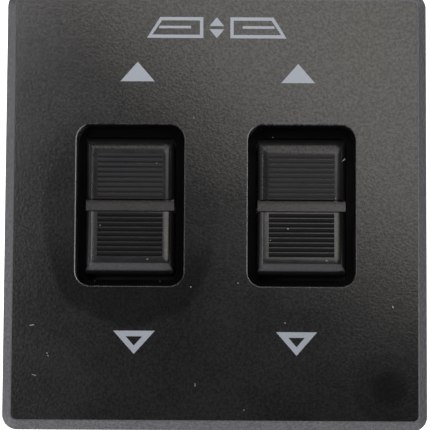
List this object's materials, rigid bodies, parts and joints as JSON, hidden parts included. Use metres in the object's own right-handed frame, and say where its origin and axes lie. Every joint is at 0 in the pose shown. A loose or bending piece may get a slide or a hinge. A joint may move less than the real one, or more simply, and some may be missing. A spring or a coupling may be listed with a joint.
{
  "type": "power window switch",
  "caption": "Flush console switch with a bevelled black face plate, ribbed tilting rocker buttons and a blade connector behind.",
  "frame": {"origin": "middle of the plate, on the flat underside of its rim, which sits on the console panel", "axes": "+Z out of the plate's face, +Y up the plate from the down arrows to the up arrows, +X to the right seen from the front"},
  "size_m": [0.0652, 0.0682, 0.0331],
  "materials": {
    "plate_plastic": "satin black moulding with fine grain",
    "rocker_plastic": "satin black moulding",
    "housing_plastic": "plain black glass-filled moulding",
    "carriage_plastic": "natural slippery plastic",
    "steel": "zinc plated",
    "spring_steel": "oiled spring steel",
    "copper": "spring copper",
    "brass": "stamped brass"
  },
  "bodies": {
    "root": {"cover_screws": "steel", "face_plate": "plate_plastic", "pivot_pin_left": "steel", "pivot_pin_right": "steel", "return_spring_left_lower": "spring_steel", "return_spring_left_upper": "spring_steel", "return_spring_right_lower": "spring_steel", "return_spring_right_upper": "spring_steel", "spring_clip_left": "spring_steel", "spring_clip_right": "spring_steel", "switch_housing": "housing_plastic", "terminal_base": "housing_plastic", "terminal_earth": "brass", "terminal_left_down": "brass", "terminal_left_up": "brass", "terminal_right_down": "brass", "terminal_right_up": "brass", "terminal_supply": "brass"},
    "carriage_left": {"bridge_contact_left_down": "copper", "bridge_contact_left_up": "copper", "contact_carriage_left": "carriage_plastic"},
    "carriage_right": {"bridge_contact_right_down": "copper", "bridge_contact_right_up": "copper", "contact_carriage_right": "carriage_plastic"},
    "rocker_left": {"rocker_left": "rocker_plastic"},
    "rocker_right": {"rocker_right": "rocker_plastic"}
  },
  "joints": [
    {"name": "rocker_left_tilt", "type": "hinge", "parent": "root", "child": "rocker_left", "pos_m": [-0.01325, 0.0005, -0.004], "axis": [1, 0, 0], "range_deg": [-8, 8], "stiffness_Nm_per_rad": 0.2, "deforming": ["return_spring_left_upper", "return_spring_left_lower"]},
    {"name": "rocker_right_tilt", "type": "hinge", "parent": "root", "child": "rocker_right", "pos_m": [0.01325, 0.0005, -0.004], "axis": [1, 0, 0], "range_deg": [-8, 8], "stiffness_Nm_per_rad": 0.2, "deforming": ["return_spring_right_upper", "return_spring_right_lower"]},
    {"name": "carriage_left_slide", "type": "slide", "parent": "root", "child": "carriage_left", "axis": [0, 1, 0], "range_m": [-0.00126, 0.00126]},
    {"name": "carriage_right_slide", "type": "slide", "parent": "root", "child": "carriage_right", "axis": [0, 1, 0], "range_m": [-0.00126, 0.00126]}
  ],
  "couplings": [
    {"joint": "rocker_left_tilt", "follows": "carriage_left_slide", "rad_per_m": 111.11},
    {"joint": "rocker_right_tilt", "follows": "carriage_right_slide", "rad_per_m": 111.11}
  ]
}
